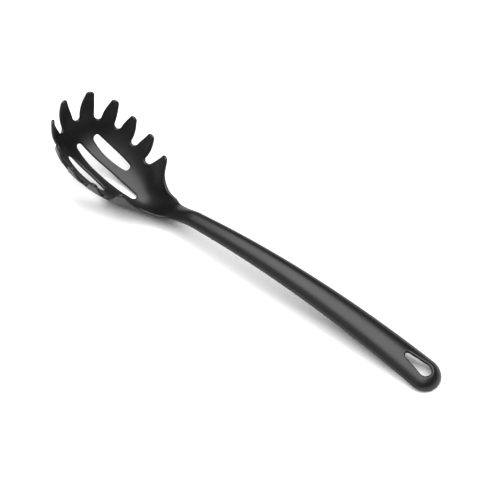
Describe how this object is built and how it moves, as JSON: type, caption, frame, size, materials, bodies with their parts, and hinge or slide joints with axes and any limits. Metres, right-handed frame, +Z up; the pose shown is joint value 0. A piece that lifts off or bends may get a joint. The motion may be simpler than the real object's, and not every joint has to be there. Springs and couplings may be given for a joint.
{
  "type": "pasta server",
  "caption": "One-handed pasta server: a slotted egg-shaped bowl ringed with tines on a long arched handle with a hanging hole.",
  "frame": {"origin": "middle of the server's box on the surface that it lies on", "axes": "+X from the bowl to the handle's end, +Y to the left across the bowl, +Z up out of the bowl"},
  "size_m": [0.3262, 0.0672, 0.0605],
  "materials": {
    "head": "satin moulded nylon",
    "handle": "satin moulded nylon",
    "back": "fine matt moulded nylon"
  },
  "bodies": {
    "root": {"bowl_head": "head", "handle_shell": "handle", "handle_back": "back"}
  },
  "joints": []
}
